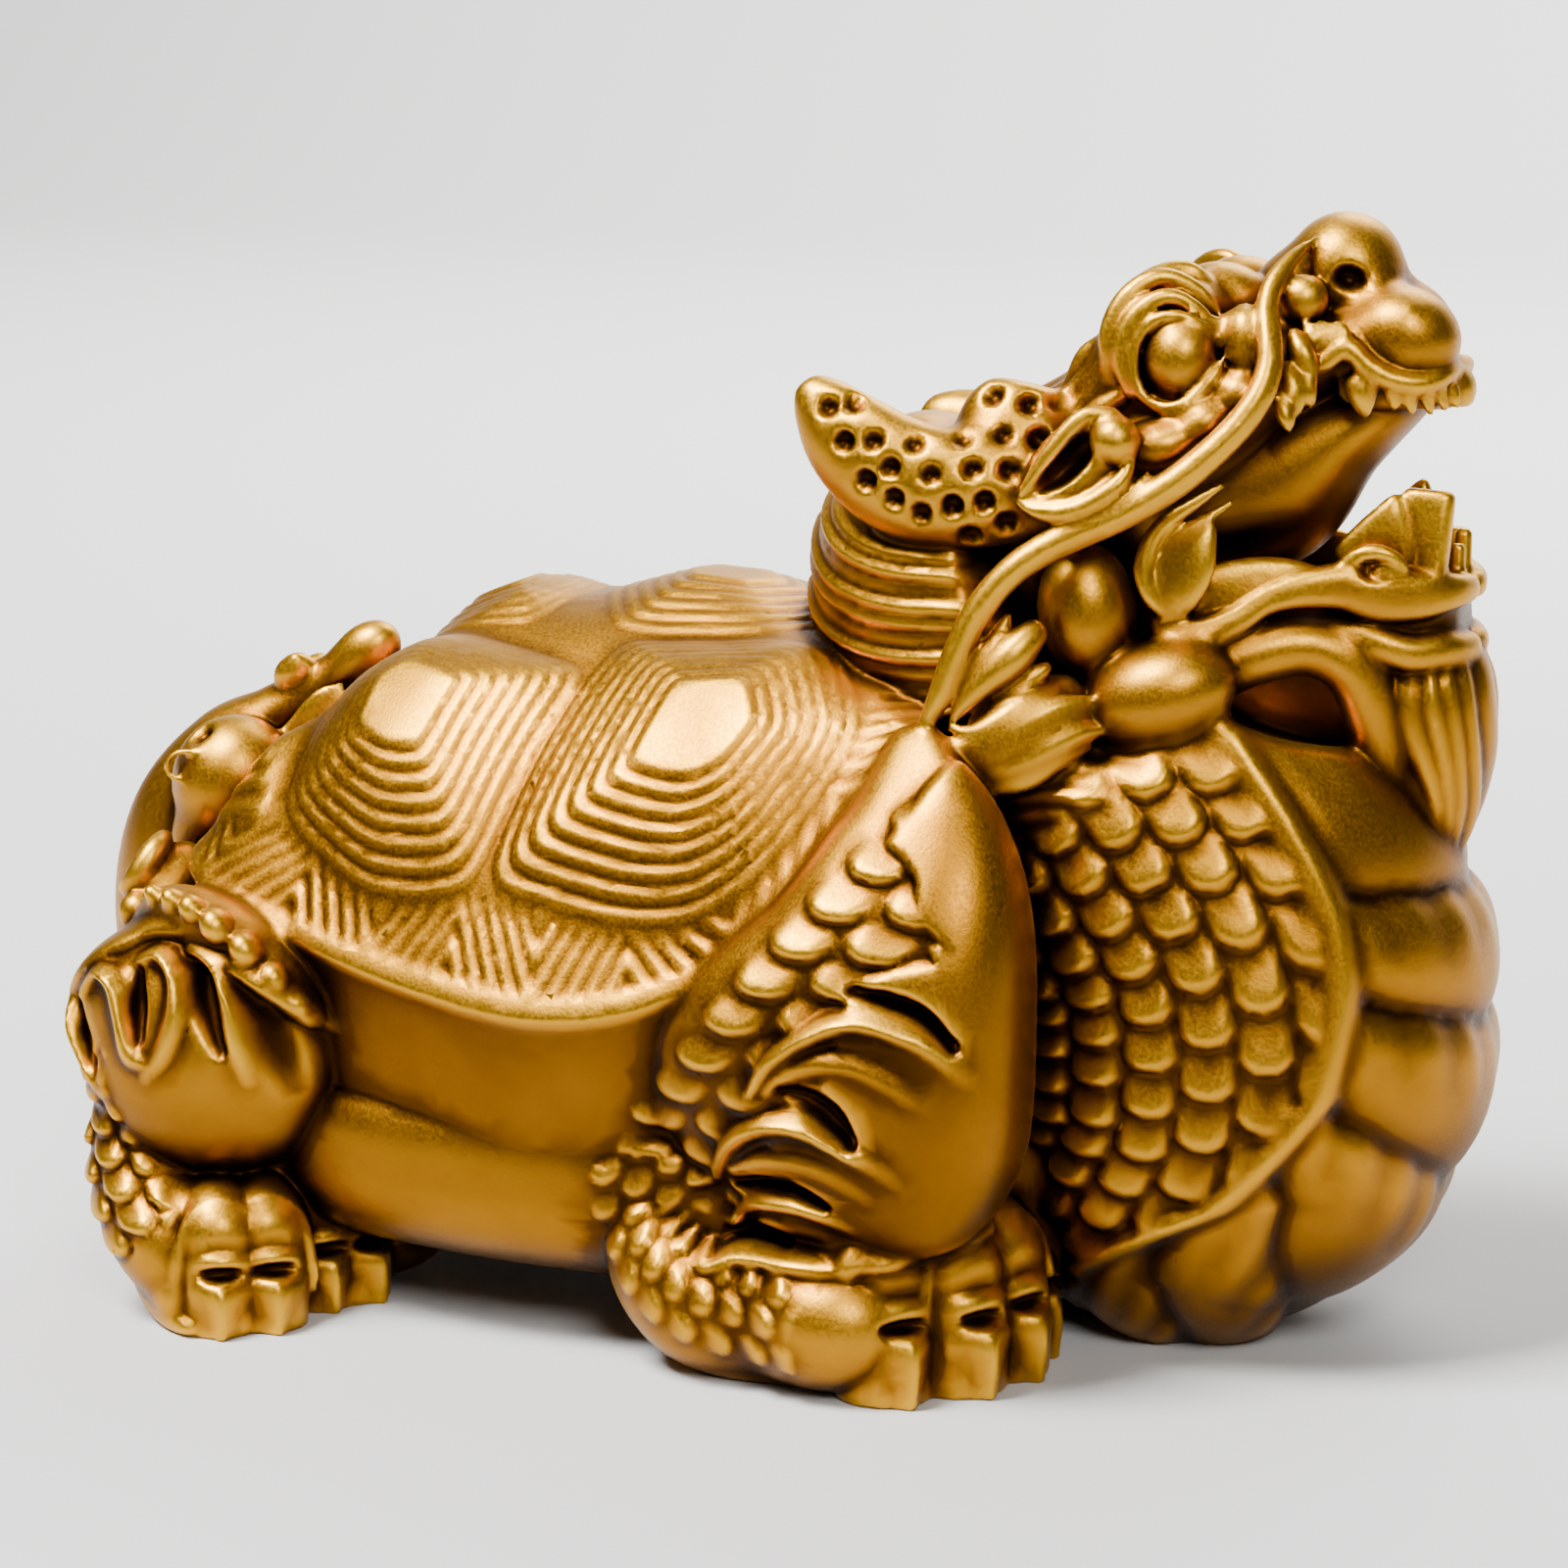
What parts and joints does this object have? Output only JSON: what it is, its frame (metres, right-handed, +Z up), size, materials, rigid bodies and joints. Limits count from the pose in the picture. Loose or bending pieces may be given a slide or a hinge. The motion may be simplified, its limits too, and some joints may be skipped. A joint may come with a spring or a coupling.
{
  "type": "dragon turtle figure",
  "caption": "Cast ornament of a crouching turtle with a raised dragon head, stepped shell scutes, scaled neck, clawed paws and curled tail; stands on its feet and chest",
  "frame": {"origin": "on the ground, under the middle of the figure's box", "axes": "+X towards the head, +Y the turtle's left, +Z up"},
  "size_m": [0.1998, 0.1272, 0.1494],
  "materials": {
    "gold_casting": "satin"
  },
  "bodies": {
    "root": {"dragon_turtle": "gold_casting"}
  },
  "joints": []
}
